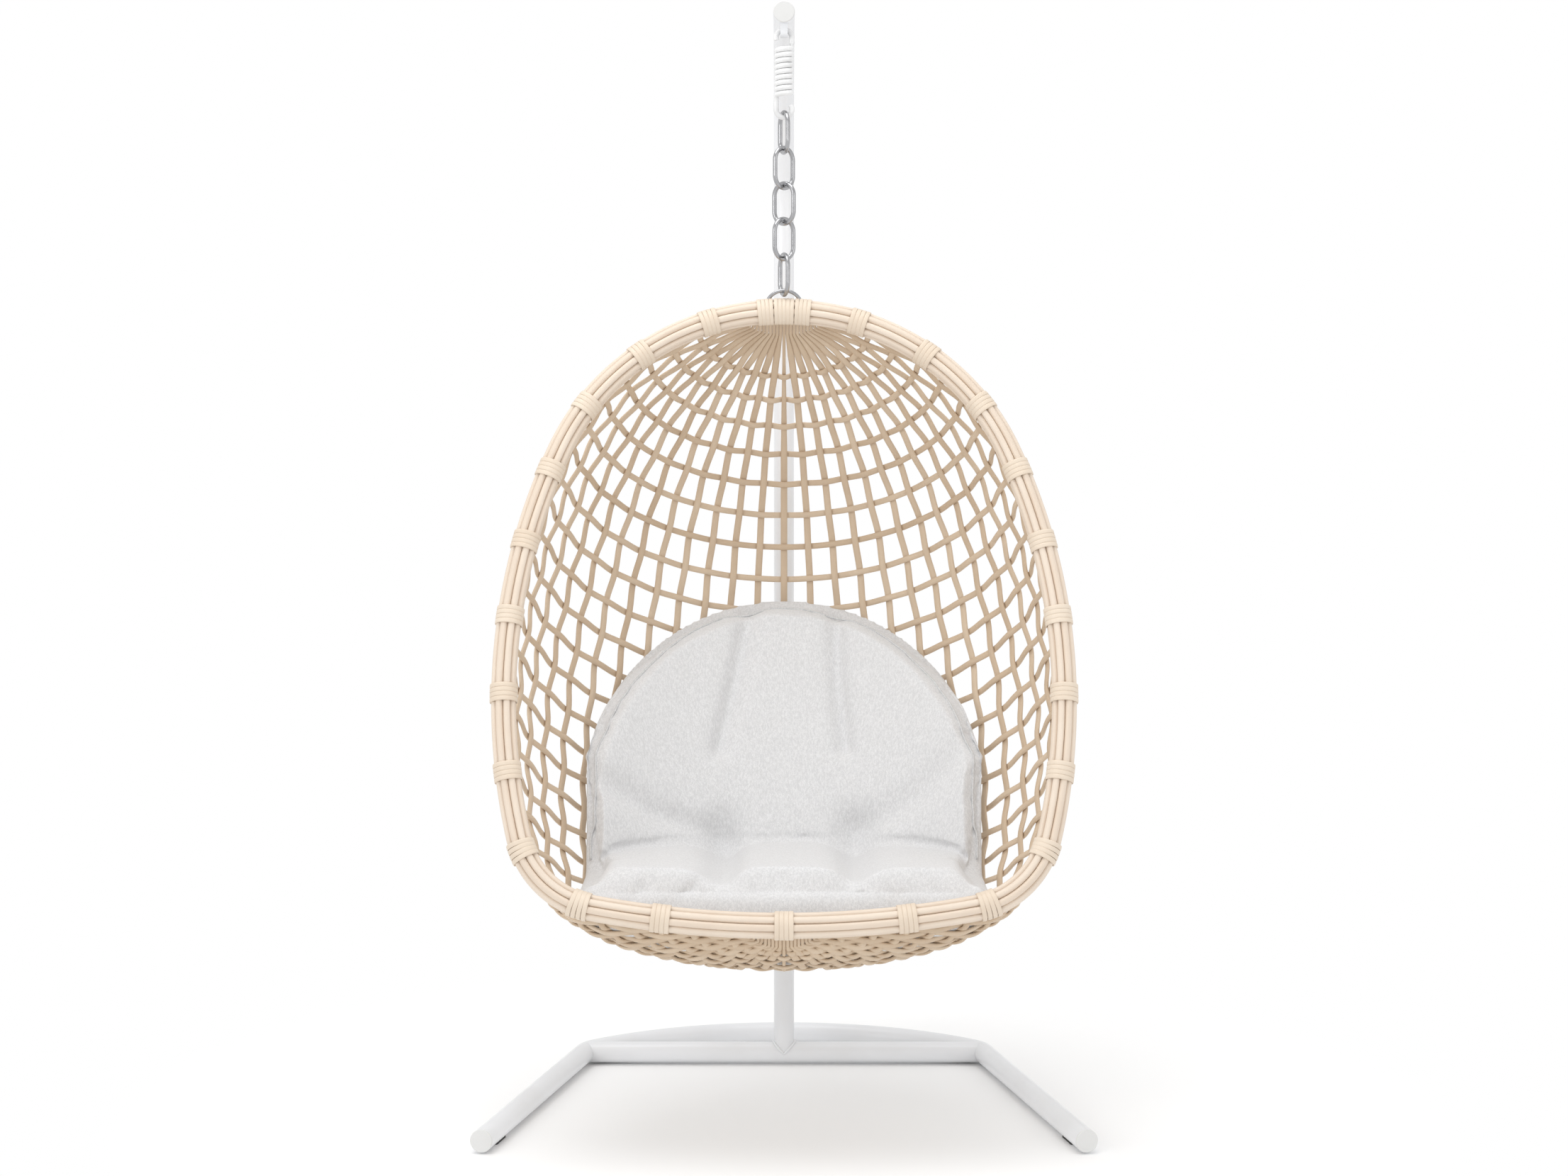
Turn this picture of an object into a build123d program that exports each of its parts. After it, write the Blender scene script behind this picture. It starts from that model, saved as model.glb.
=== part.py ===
from build123d import *
from math import asin, atan2, cos, degrees, hypot, pi, radians, sin, sqrt, tan
import os

# Hanging egg chair: a woven egg basket on a spring and chain, under a one-legged bent-tube stand.
# Units are millimetres. +Z is up, the open side of the basket faces -Y, and X = 0 is the plane of
# symmetry. The origin is on the floor, at the middle of the chair's footprint.

# ---------------------------------------------------------------- stand: one bent tube size
TUBE_D = 38.0                 # outside diameter of every stand tube
TUBE_WALL = 2.0
GLIDE_H = 3.0                 # rubber pads under the hoop hold the tubes off the floor
GLIDE_L = 46.0
GLIDE_W = 16.0
GLIDE_PLACES = (0.04, 0.36, 0.64, 0.96)         # shares of the way along the hoop
REAR_REACH = 155.0            # crossbar centre line to the middle of the rear arc
REAR_ARC_R = 535.0
REAR_ARC_SWEEP = 42.0         # degrees, from the middle to one corner bend
CORNER_R = 60.0
CORNER_SWEEP = 36.0
LEG_REACH = 600.0             # how far the feet stand in front of the crossbar
WELD_GAP = 0.1                # between coped tubes, where the weld bead is
CAP_LIP = 2.5                 # visible thickness of a plastic tube cap
CAP_PLUG = 18.0
PLUG_CLEARANCE = 0.1
CAP_CHAMFER = 1.2

COLUMN_LEAN = 3.2             # degrees backward
ARM_TOP_Z = 1930.0            # height of the arm's centre line
ARM_BEND_R = 330.0
HANG_REACH = 310.0            # hang line in front of the column's foot
ARM_OVERHANG = 25.0           # arm beyond the hang line
JOINT_Z = 700.0               # where the column's two lengths meet, behind the cushion
SPIGOT_CLEARANCE = 0.4        # all round the inner sleeve of that joint
SPIGOT_WALL = 2.5
SPIGOT_L = 180.0
BOLT_D = 6.0
BOLT_HEAD_D = 12.0
BOLT_HEAD_H = 3.5
BOLT_FROM_JOINT = 45.0
BOLT_CLEARANCE = 0.25
BOLT_PAST_SLEEVE = 4.0
BOLT_DOME = 2.1

# ---------------------------------------------------------------- hanging eye, spring, chain
EYE_W = 13.0                  # width of the flat strap the eye is bent from
EYE_T = 6.0
EYE_OUTER = 34.0
EYE_ROOM = 17.0               # height inside the eye, under the arm
EYE_OUTER_BEND = 8.4
EYE_INNER_BEND = 3.6
SPRING_WIRE = 9.5
SPRING_D = 36.0
TURN_GAP = 0.25               # between the coil's turns
SPRING_TURNS = 9
HOOK_R = 14.0                 # centre-line radius of the hooks at both ends of the spring
HOOK_DROP = 11.5              # straight part of the lower hook
CONTACT_GAP = 0.3             # air between pieces that hang in each other
LINK_WIRE = 8.0
LINK_W = 52.0
LINK_PITCH = 62.7
LINK_YAWS = (-72.0, 45.0, -40.0, 42.0, -72.0)    # degrees each link is turned about the hang line
RING_WIRE = 6.3
RING_R = 32.6                 # centre line
LINK_TO_BINDING = 1.2         # air under the last link

# ---------------------------------------------------------------- basket rim
RIM_LEAN = 20.5               # degrees the rim's plane leans: its bottom is pushed forward
RIM_TOP_R = 420.0
RIM_TOP_SWEEP = 67.5
RIM_SIDE_R = 1067.0
RIM_SIDE_SWEEP = 36.9
RIM_CORNER_R = 158.0
RIM_CORNER_SWEEP = 65.2
CORE_D = 19.0                 # steel hoop inside the rim
CORE_WALL = 1.5
STRAND_COUNT = 8              # resin strands laid along the hoop, as thick as fits round it
STRAND_WALL = 2.0             # they are hollow
STRAND_GAP = 0.3              # between strands and core
STRAND_SIDE_GAP = 0.34        # between neighbouring strands
BINDING_T = 2.5
BINDING_L = 31.0
BINDING_PITCH = 134.0         # along the rim, from one binding to the next
BINDING_COUNT = 24
TOP_BINDING_L = 94.0

# ---------------------------------------------------------------- woven body and cushion
BACK_START = 9.0              # degrees the back profile has already turned at the rim
BACK_TOP_R = 459.0
BACK_TOP_SWEEP = 63.0
BACK_R = 987.0
BACK_SWEEP = 37.6
HEEL_R = 282.0
HEEL_SWEEP = 38.0
WEAVE_T = 7.0
WEAVE_LEAD = 28.0             # the weave stops this far short of the rim's top and bottom middle
WEAVE_SECTIONS = 16
BELLY_SLOPE = 0.85            # how far the weave's lower sections sag behind and below the rim
CUSHION_GAP = 8.0
CUSHION_W = 684.0
CUSHION_ARCH_H = 285.0
CUSHION_TOP_DROP = 519.6      # the pad's top below the rim's top middle
SEAT_DROP = 952.6             # and its seat
CREASE_FORWARD = 16.0         # seat and back meet this far in front of the hang line
BACKREST_LEAN = 19.5
WRAP_HALF_W = 400.0           # the pad's front curves forward at the sides as an ellipse
WRAP_DEPTH = 330.0

SHORTEST_ARC = 0.01           # shorter stretches of a path are left out


# ---------------------------------------------------------------- values that follow
TUBE_R = TUBE_D / 2
TUBE_Z = GLIDE_H + TUBE_R
SPIGOT_D = TUBE_D - 2 * TUBE_WALL - 2 * SPIGOT_CLEARANCE
EYE_BOTTOM_Z = ARM_TOP_Z - TUBE_R - EYE_ROOM - EYE_T
SPRING_PITCH = SPRING_WIRE + TURN_GAP

half_angle_sin = sin(pi / STRAND_COUNT)
STRAND_D = ((CORE_D + 2 * STRAND_GAP) * half_angle_sin - STRAND_SIDE_GAP) / (1 - half_angle_sin)
STRAND_RING_R = CORE_D / 2 + STRAND_GAP + STRAND_D / 2
BUNDLE_R = STRAND_RING_R + STRAND_D / 2
BINDING_R = BUNDLE_R + STRAND_GAP + BINDING_T

hook_inner_r = HOOK_R - SPRING_WIRE / 2
eye_crown = hook_inner_r - sqrt(hook_inner_r ** 2 - (EYE_W / 2) ** 2)
hook_top_z = EYE_BOTTOM_Z + EYE_T + eye_crown + CONTACT_GAP + SPRING_WIRE / 2
coil_top_z = hook_top_z - HOOK_R - HOOK_R
coil_bottom_z = coil_top_z - SPRING_PITCH * (SPRING_TURNS - 1) - SPRING_WIRE
lower_hook_z = coil_bottom_z - HOOK_DROP - HOOK_R
link_centre_d = LINK_PITCH + LINK_WIRE + CONTACT_GAP
link_top_z = lower_hook_z - HOOK_R + (SPRING_WIRE + LINK_WIRE) / 2 + CONTACT_GAP
link_tops = [link_top_z - n * LINK_PITCH for n in range(len(LINK_YAWS))]
ring_top_z = link_tops[-1] - link_centre_d + (LINK_WIRE + RING_WIRE) / 2 + CONTACT_GAP
rim_top_z = ring_top_z - RING_WIRE / 2 - LINK_WIRE - CONTACT_GAP - LINK_TO_BINDING - BINDING_R
CUSHION_TOP_Z = rim_top_z - CUSHION_TOP_DROP
SEAT_Z = rim_top_z - SEAT_DROP


def left_turns(heading, steps):
    """Tangent arcs that all turn left, from the origin: (centre x, centre y, radius, heading, sweep)."""
    x, y, arcs = 0.0, 0.0, []
    for radius, sweep in steps:
        a, b = radians(heading), radians(heading + sweep)
        cx, cy = x - radius * sin(a), y + radius * cos(a)
        arcs.append((cx, cy, radius, heading, sweep))
        x, y, heading = cx + radius * sin(b), cy - radius * cos(b), heading + sweep
    return arcs


def arc_length(arcs):
    return sum(radius * radians(sweep) for _, _, radius, _, sweep in arcs)


def point_along(arcs, distance):
    """The point this far along a chain of arcs."""
    for cx, cy, radius, heading, sweep in arcs:
        length = radius * radians(sweep)
        if distance <= length:
            break
        distance -= length
    else:
        distance = length
    turned = radians(heading) + distance / radius
    return cx + radius * sin(turned), cy - radius * cos(turned)


def part_of(arcs, first, last):
    """The stretch of a chain between two distances along it."""
    kept, start = [], 0.0
    for cx, cy, radius, heading, sweep in arcs:
        end = start + radius * radians(sweep)
        low, high = max(first, start), min(last, end)
        if high - low > SHORTEST_ARC:
            turned = degrees((low - start) / radius)
            kept.append((cx, cy, radius, heading + turned, degrees((high - low) / radius)))
        start = end
    return kept


def wire_of(arcs, plane, outward=0.0, lift=0.0):
    """The chain as a wire in a plane, moved outward in the plane and lifted off it."""
    edges = [
        CenterArc((cx, cy, lift), radius + outward, heading - 90, sweep)
        for cx, cy, radius, heading, sweep in arcs
    ]
    return Wire([plane.from_local_coords(edge) for edge in edges])


def rod(path, radius):
    """A round bar along a path."""
    return sweep(Plane(path @ 0, z_dir=path % 0) * Circle(radius), path=path)


def tube(path, radius, wall):
    """A round tube along a path."""
    ring = Circle(radius) - Circle(radius - wall)
    return sweep(Plane(path @ 0, z_dir=path % 0) * ring, path=path)


def write(name, *solids):
    """One STEP file for a node, with all its solids moved from the stand's frame to the chair's."""
    solids = [solid for shape in solids for solid in shape.solids()]
    placed = [Pos(0, origin_shift, 0) * solid for solid in solids]
    export_step(placed[0] if len(placed) == 1 else Compound(children=placed), f"parts/{name}.step")


# ================================================================ rim and back, as chains of arcs
half_rim = [(RIM_TOP_R, RIM_TOP_SWEEP), (RIM_SIDE_R, RIM_SIDE_SWEEP), (RIM_CORNER_R, RIM_CORNER_SWEEP)]
rim_turned = RIM_TOP_SWEEP + RIM_SIDE_SWEEP + RIM_CORNER_SWEEP
corner_end = point_along(left_turns(0, half_rim), arc_length(left_turns(0, half_rim)))
rim_bottom_sweep = 180 - rim_turned
rim_bottom_r = corner_end[0] / sin(radians(rim_bottom_sweep))
half_rim.append((rim_bottom_r, rim_bottom_sweep))
right_rim = left_turns(0, half_rim)
whole_rim = left_turns(0, half_rim + half_rim[::-1])
half_rim_length = arc_length(right_rim)
rim_height = point_along(right_rim, half_rim_length)[1]

back_steps = [(BACK_TOP_R, BACK_TOP_SWEEP), (BACK_R, BACK_SWEEP), (HEEL_R, HEEL_SWEEP)]
back = left_turns(BACK_START, back_steps)
heel_end = point_along(back, arc_length(back))
heel_heading = BACK_START + BACK_TOP_SWEEP + BACK_SWEEP + HEEL_SWEEP
to_lip = (-heel_end[0], rim_height - heel_end[1])
lip_half_sweep = (degrees(atan2(to_lip[1], to_lip[0])) - heel_heading) % 360
lip_r = hypot(*to_lip) / (2 * sin(radians(lip_half_sweep)))
back = left_turns(BACK_START, back_steps + [(lip_r, 2 * lip_half_sweep)])
back_length = arc_length(back)

hang_y = -HANG_REACH
rim_forward = rim_height * sin(radians(RIM_LEAN))
front_y = hang_y - rim_forward - BINDING_R
rear_y = REAR_REACH + TUBE_R
origin_shift = -(front_y + rear_y) / 2
rim_plane = Plane(
    origin=(0, hang_y, rim_top_z),
    x_dir=(1, 0, 0),
    z_dir=(0, cos(radians(RIM_LEAN)), -sin(radians(RIM_LEAN))),
)


# ================================================================ stand
def base_hoop_path():
    """Rear arc, corner bends and legs, from one foot to the other, in the plan view."""
    bends = [(CORNER_R, CORNER_SWEEP), (REAR_ARC_R, REAR_ARC_SWEEP)]
    bends = left_turns(0, bends + bends[::-1])
    turned = CORNER_SWEEP + REAR_ARC_SWEEP
    middle = point_along(bends, arc_length(bends) / 2)
    turn_back = Pos(0, REAR_REACH, TUBE_Z) * Rot(0, 0, 180 - turned) * Pos(-middle[0], -middle[1], 0)
    arcs = [turn_back * edge for edge in wire_of(bends, Plane.XY).edges()]
    first, last = arcs[0] @ 0, arcs[-1] @ 1
    leg_dir = arcs[-1] % 1
    leg = leg_dir * ((last.Y + LEG_REACH) / -leg_dir.Y)
    mirrored = Vector(-leg.X, leg.Y, 0)
    return Wire([Line(first + mirrored, first), *arcs, Line(last, last + leg)])


def column_path():
    """The column leans back, bends over forward, and ends in a short level arm."""
    lean = radians(COLUMN_LEAN)
    bend_z = ARM_TOP_Z - ARM_BEND_R * (1 + sin(lean))
    bend_y = (bend_z - TUBE_Z) * tan(lean)
    straight = Line((0, 0, TUBE_Z), (0, bend_y, bend_z))
    over = CenterArc((0, 0, 0), ARM_BEND_R, -COLUMN_LEAN, 90 + COLUMN_LEAN)
    bend_plane = Plane(
        origin=(0, bend_y - ARM_BEND_R * cos(lean), bend_z + ARM_BEND_R * sin(lean)),
        x_dir=(0, 1, 0),
        z_dir=(1, 0, 0),
    )
    over = bend_plane.from_local_coords(over)
    arm_end = (0, -HANG_REACH - ARM_OVERHANG, ARM_TOP_Z)
    return Wire([straight, over, Line(over @ 1, arm_end)])


def cap(path_end, direction):
    """A plastic cap: a thin disc on the tube's end with a plug inside the bore."""
    face = Plane(path_end, z_dir=direction)
    disc = Cylinder(TUBE_R, CAP_LIP, align=(Align.CENTER, Align.CENTER, Align.MIN))
    disc = chamfer(disc.edges().group_by(Axis.Z)[-1], CAP_CHAMFER)
    plug = Cylinder(TUBE_R - TUBE_WALL - PLUG_CLEARANCE, CAP_PLUG, align=(Align.CENTER, Align.CENTER, Align.MAX))
    return face * (disc + plug)


hoop_path = base_hoop_path()
hoop_rod = rod(hoop_path, TUBE_R)
hoop = tube(hoop_path, TUBE_R, TUBE_WALL)

crossbar_line = Line((-REAR_ARC_R, 0, TUBE_Z), (REAR_ARC_R, 0, TUBE_Z))
crossbar_solids = (tube(crossbar_line, TUBE_R, TUBE_WALL) - rod(hoop_path, TUBE_R + WELD_GAP)).solids()
crossbar = min(crossbar_solids, key=lambda solid: abs(solid.center().X))

column_line = column_path()
column = tube(column_line, TUBE_R, TUBE_WALL) - rod(crossbar_line, TUBE_R + WELD_GAP)
column = max(column.solids(), key=lambda solid: solid.volume)
column_axis = Vector(0, sin(radians(COLUMN_LEAN)), cos(radians(COLUMN_LEAN)))
joint_at = Vector(0, 0, TUBE_Z) + column_axis * ((JOINT_Z - TUBE_Z) / column_axis.Z)
joint_plane = Plane(joint_at, x_dir=(1, 0, 0), z_dir=column_axis)

spigot_ring = Circle(SPIGOT_D / 2) - Circle(SPIGOT_D / 2 - SPIGOT_WALL)
spigot = joint_plane * extrude(spigot_ring, SPIGOT_L / 2, both=True)
bolt_places = [joint_plane * Pos(0, TUBE_R, side * BOLT_FROM_JOINT) * Rot(-90, 0, 0) for side in (-1, 1)]
bolt_reach = TUBE_WALL + SPIGOT_WALL + BOLT_PAST_SLEEVE
shank_holes = [place * Cylinder(BOLT_D / 2 + BOLT_CLEARANCE, 2 * bolt_reach) for place in bolt_places]
spigot = spigot - shank_holes
column = column - shank_holes
column_lower = split(column, bisect_by=joint_plane, keep=Keep.BOTTOM)
column_upper = split(column, bisect_by=joint_plane, keep=Keep.TOP)


def column_bolt(place):
    """A domed screw from behind, through the column's wall into the sleeve."""
    down = (Align.CENTER, Align.CENTER, Align.MAX)
    up = (Align.CENTER, Align.CENTER, Align.MIN)
    shank = Cylinder(BOLT_D / 2, bolt_reach, align=down)
    head = Pos(0, 0, CONTACT_GAP) * Cylinder(BOLT_HEAD_D / 2, BOLT_HEAD_H, align=up)
    neck = Cylinder(BOLT_D / 2, 2 * CONTACT_GAP)
    dome = fillet(head.edges().group_by(Axis.Z)[-1], BOLT_DOME)
    return place * (shank + neck + dome)


column_bolts = [column_bolt(place) for place in bolt_places]
foot_caps = [cap(hoop_path @ 0, -(hoop_path % 0)), cap(hoop_path @ 1, hoop_path % 1)]
arm_end_cap = cap(column_line @ 1, column_line % 1)


def glide(at, direction):
    """A flat rubber pad under the hoop, hollowed to the tube's curve."""
    block = Plane((at.X, at.Y, 0), x_dir=(direction.X, direction.Y, 0), z_dir=(0, 0, 1)) * Box(
        GLIDE_L, GLIDE_W, GLIDE_H * 2, align=(Align.CENTER, Align.CENTER, Align.MIN)
    )
    return block - hoop_rod


glides = [glide(hoop_path @ place, hoop_path % place) for place in GLIDE_PLACES]


# ================================================================ hanging eye, spring and chain
def hanging_eye():
    """A flat strap bent to a U and welded under the arm."""
    height = ARM_TOP_Z - EYE_BOTTOM_Z
    side = Plane((0, hang_y, EYE_BOTTOM_Z), x_dir=(0, 1, 0), z_dir=(1, 0, 0))
    outer = Pos(0, height / 2) * Rectangle(EYE_OUTER, height)
    outer = fillet(outer.vertices().group_by(Axis.Y)[0], EYE_OUTER_BEND)
    inner = Pos(0, EYE_T + height / 2) * Rectangle(EYE_OUTER - 2 * EYE_T, height)
    inner = fillet(inner.vertices().group_by(Axis.Y)[0], EYE_INNER_BEND)
    strap = side * extrude(outer - inner, EYE_W / 2, both=True)
    return strap - rod(column_line, TUBE_R)


def u_hook(centre_z, straight, opens):
    """A hook bent from the spring's wire: half a circle with two straight ends (opens -1 down, 1 up)."""
    front = Plane((0, hang_y, centre_z), x_dir=(1, 0, 0), z_dir=(0, -1, 0))
    ends = [(side * HOOK_R, opens * straight) for side in (-1, 1)]
    bend = CenterArc((0, 0), HOOK_R, 0 if opens < 0 else 180, 180)
    start, finish = bend @ 0, bend @ 1
    order = ends if start.X < 0 else ends[::-1]
    edges = [Line((start.X, order[0][1]), start), bend, Line(finish, (finish.X, order[1][1]))]
    return rod(Wire([front.from_local_coords(edge) for edge in edges]), SPRING_WIRE / 2)


def spring_coil():
    """The closed coil, as the body its touching turns sweep out."""
    turns = [
        Pos((SPRING_D - SPRING_WIRE) / 2, -SPRING_WIRE / 2 - n * SPRING_PITCH) * Circle(SPRING_WIRE / 2)
        for n in range(SPRING_TURNS)
    ]
    webs = [
        Pos((SPRING_D - SPRING_WIRE) / 2, -SPRING_WIRE / 2 - (n + 0.5) * SPRING_PITCH)
        * Rectangle(SPRING_WIRE / 2, SPRING_WIRE / 2)
        for n in range(SPRING_TURNS - 1)
    ]
    section = Sketch() + turns + webs
    front = Plane((0, hang_y, coil_top_z), x_dir=(1, 0, 0), z_dir=(0, -1, 0))
    return revolve(front * section, axis=Axis((0, hang_y, 0), (0, 0, 1)))


def chain_link(top_z, yaw):
    """A welded oval link hanging from the height where its top bar's centre lies."""
    bend_r = (LINK_W - LINK_WIRE) / 2
    half_straight = (link_centre_d - 2 * bend_r) / 2
    face = Plane((0, 0, 0), x_dir=(1, 0, 0), z_dir=(0, -1, 0))
    edges = [
        Line((bend_r, 0), (bend_r, half_straight)),
        CenterArc((0, half_straight), bend_r, 0, 180),
        Line((-bend_r, half_straight), (-bend_r, -half_straight)),
        CenterArc((0, -half_straight), bend_r, 180, 180),
        Line((bend_r, -half_straight), (bend_r, 0)),
    ]
    oval = rod(Wire([face.from_local_coords(edge) for edge in edges]), LINK_WIRE / 2)
    return Pos(0, hang_y, top_z - link_centre_d / 2) * Rot(0, 0, yaw) * oval


def hanger_ring(wire_r):
    """Half a steel ring that stands up from the top of the rim's core."""
    foot_z = rim_top_z + CORE_D / 2
    centre_z = ring_top_z - RING_R
    dip = degrees(asin((foot_z + RING_WIRE / 2 - centre_z) / RING_R))
    front = Plane((0, hang_y, centre_z), x_dir=(1, 0, 0), z_dir=(0, -1, 0))
    return rod(Wire([front.from_local_coords(CenterArc((0, 0), RING_R, dip, 180 - 2 * dip))]), wire_r)


chain_links = [chain_link(top, yaw) for top, yaw in zip(link_tops, LINK_YAWS)]
ring = hanger_ring(RING_WIRE / 2)
ring_room = hanger_ring(RING_WIRE / 2 + STRAND_GAP)


# ================================================================ rim
def rim_strand(number):
    """One resin strand laid along the core."""
    angle = radians(360 * (number + 0.5) / STRAND_COUNT)
    outward, lift = STRAND_RING_R * cos(angle), STRAND_RING_R * sin(angle)
    return tube(wire_of(whole_rim, rim_plane, outward, lift), STRAND_D / 2, STRAND_WALL)


def binding(middle, length):
    """A band of tight turns round the strands, centred this far along the rim."""
    twice = left_turns(0, (half_rim + half_rim[::-1]) * 2)
    path = wire_of(part_of(twice, middle - length / 2, middle + length / 2), rim_plane)
    return tube(path, BINDING_R, BINDING_T)


rim_core = tube(wire_of(whole_rim, rim_plane), CORE_D / 2, CORE_WALL)
rim_strands = [rim_strand(number) - ring_room for number in range(STRAND_COUNT)]
top_binding = (binding(2 * half_rim_length, TOP_BINDING_L) - ring_room).solids()
top_binding = max(top_binding, key=lambda solid: solid.volume)
rim_bindings = [
    binding(2 * half_rim_length + n * BINDING_PITCH, BINDING_L)
    for n in range(1 - BINDING_COUNT // 2, BINDING_COUNT // 2)
    if n
]
rim_bindings.append(binding(half_rim_length, BINDING_L))


# ================================================================ woven body
def weave_section(share, shrink, closed=False):
    """A half ellipse across the basket, at this share of the way down it, as a wire.

    Open sections are a wall WEAVE_T thick; closed ones bound the space inside it.
    """
    rim_at = WEAVE_LEAD + share * (half_rim_length - 2 * WEAVE_LEAD)
    back_lead = WEAVE_LEAD + BINDING_R
    back_share = share + BELLY_SLOPE * share**2 * (1 - share)
    back_at = back_lead + back_share * (back_length - 2 * back_lead)
    half_width, rim_down = point_along(right_rim, rim_at)
    depth, back_down = point_along(back, back_at)
    behind_rim = BINDING_R + STRAND_GAP
    rearward, downward = depth - behind_rim, back_down - rim_down
    reach = hypot(rearward, downward)
    face = Plane(
        origin=rim_plane.from_local_coords(Vector(0, rim_down, behind_rim)),
        x_dir=rim_plane.x_dir,
        z_dir=rim_plane.x_dir.cross(rim_plane.y_dir * downward + rim_plane.z_dir * rearward),
    )
    wide, deep = half_width - shrink, reach - shrink
    outer = EllipticalCenterArc((0, 0), wide, deep, 0, arc_size=180)
    if closed:
        edges = [outer, Line((-wide, 0), (wide, 0))]
    else:
        inner = EllipticalCenterArc((0, 0), wide - WEAVE_T, deep - WEAVE_T, 0, arc_size=180)
        edges = [outer, Line(outer @ 1, inner @ 1), inner, Line(inner @ 0, outer @ 0)]
    return Wire([face.from_local_coords(edge) for edge in edges])


def woven_shell():
    """The woven wall from rim to rim, as one thin shell."""
    return Solid.make_loft([weave_section(share, -WEAVE_T / 2) for share in weave_shares])


def cushion():
    """One pad that fills the bottom of the basket and wraps round its back, with an arched top."""
    shrink = WEAVE_T / 2 + CUSHION_GAP
    hollow = Solid.make_loft([weave_section(share, shrink, closed=True) for share in weave_shares[:-1]])
    crease_y = hang_y - CREASE_FORWARD
    front_ellipse = Pos(0, crease_y - WRAP_DEPTH) * Ellipse(WRAP_HALF_W, WRAP_DEPTH)
    in_front = Pos(0, crease_y - WRAP_DEPTH - back_length / 2) * Rectangle(2 * WRAP_HALF_W, back_length)
    backrest_dir = (0, sin(radians(BACKREST_LEAN)), cos(radians(BACKREST_LEAN)))
    sitting_space = extrude(Pos(0, 0, SEAT_Z) * (front_ellipse + in_front), back_length, dir=backrest_dir)
    spring_line_z = CUSHION_TOP_Z - CUSHION_ARCH_H
    front = Plane((0, crease_y, spring_line_z), x_dir=(1, 0, 0), z_dir=(0, -1, 0))
    straight_sides = Pos(0, -spring_line_z / 2) * Rectangle(CUSHION_W, spring_line_z)
    arch = Ellipse(CUSHION_W / 2, CUSHION_ARCH_H) + straight_sides
    return (hollow & extrude(front * arch, back_length, both=True)) - sitting_space


weave_shares = [n / (WEAVE_SECTIONS - 1) for n in range(WEAVE_SECTIONS)]
weave = woven_shell()
pad = cushion()

# ================================================================ files
os.makedirs("parts", exist_ok=True)
write("base_hoop", hoop)
write("base_crossbar", crossbar)
write("column_lower", column_lower)
write("column_upper", column_upper)
write("column_spigot", spigot)
write("column_bolts", *column_bolts)
for side, piece in zip(("left", "right"), foot_caps):
    write(f"foot_cap_{side}", piece)
write("glide_pads", *glides)
write("arm_end_cap", arm_end_cap)
write("hanging_eye", hanging_eye())
write("spring_top_hook", u_hook(hook_top_z - HOOK_R, HOOK_R, -1))
write("spring_coil", spring_coil())
write("spring_bottom_hook", u_hook(lower_hook_z, HOOK_DROP + HOOK_R, 1))
for number, piece in enumerate(chain_links, 1):
    write(f"chain_link_{number}", piece)
write("hanger_ring", ring)
write("rim_core", rim_core)
write("rim_strands", *rim_strands)
write("rim_top_binding", top_binding)
write("rim_bindings", *rim_bindings)
write("woven_shell", weave)
write("seat_cushion", pad)
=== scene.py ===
import math
import bpy
import numpy as np
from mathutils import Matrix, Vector
from mathutils.bvhtree import BVHTree


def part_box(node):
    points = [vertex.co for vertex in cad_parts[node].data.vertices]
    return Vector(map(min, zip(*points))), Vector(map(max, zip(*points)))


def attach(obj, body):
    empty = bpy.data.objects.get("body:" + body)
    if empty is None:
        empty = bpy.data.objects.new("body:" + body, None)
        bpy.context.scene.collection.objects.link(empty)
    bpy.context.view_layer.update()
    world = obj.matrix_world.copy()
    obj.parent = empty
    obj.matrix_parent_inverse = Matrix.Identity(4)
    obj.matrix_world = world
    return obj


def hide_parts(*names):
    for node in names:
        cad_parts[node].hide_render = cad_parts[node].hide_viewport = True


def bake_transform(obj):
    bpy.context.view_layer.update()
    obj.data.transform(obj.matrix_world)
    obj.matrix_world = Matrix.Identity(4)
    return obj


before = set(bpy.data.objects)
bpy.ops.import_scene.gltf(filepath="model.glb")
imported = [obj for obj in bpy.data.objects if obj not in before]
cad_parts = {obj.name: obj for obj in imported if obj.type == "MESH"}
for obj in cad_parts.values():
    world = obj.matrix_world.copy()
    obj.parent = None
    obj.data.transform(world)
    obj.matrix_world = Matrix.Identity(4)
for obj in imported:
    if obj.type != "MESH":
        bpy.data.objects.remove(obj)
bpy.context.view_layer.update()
scene = bpy.context.scene

# Studio: a level camera in front of the chair, a pale floor that runs out of sight, and large
# soft lights above, in front and at both sides, so that shadows stay faint and close to the feet.
CAMERA_AT = (0.0, -4.731, 1.25)
CAMERA_SENSOR = 36.0            # millimetres, as is the lens
CAMERA_LENS = 61.03
CAMERA_SHIFT = -0.1205
FLOOR_SIZE = 60.0
FLOOR_COLOUR = (0.98, 0.98, 0.98, 1.0)
FLOOR_ROUGHNESS = 0.9
FLOOR_FADE_FROM = 0.60          # metres from the chair, where the floor starts to go plain white
FLOOR_FADE_TO = 1.20
ROOM_COLOUR = (1.0, 1.0, 1.0, 1.0)
ROOM_STRENGTH = 0.84
# name, place and aim in metres, size in metres, power in watts
LAMPS = (
    ("light_above", (-0.4, -0.6, 4.2), (0.0, 0.0, 0.6), 2.6, 52.0),
    ("light_front_left", (-3.2, -3.6, 2.6), (0.0, 0.0, 0.9), 2.2, 38.0),
    ("light_front_right", (3.4, -3.2, 2.2), (0.0, 0.0, 0.9), 2.2, 17.0),
)

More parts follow.
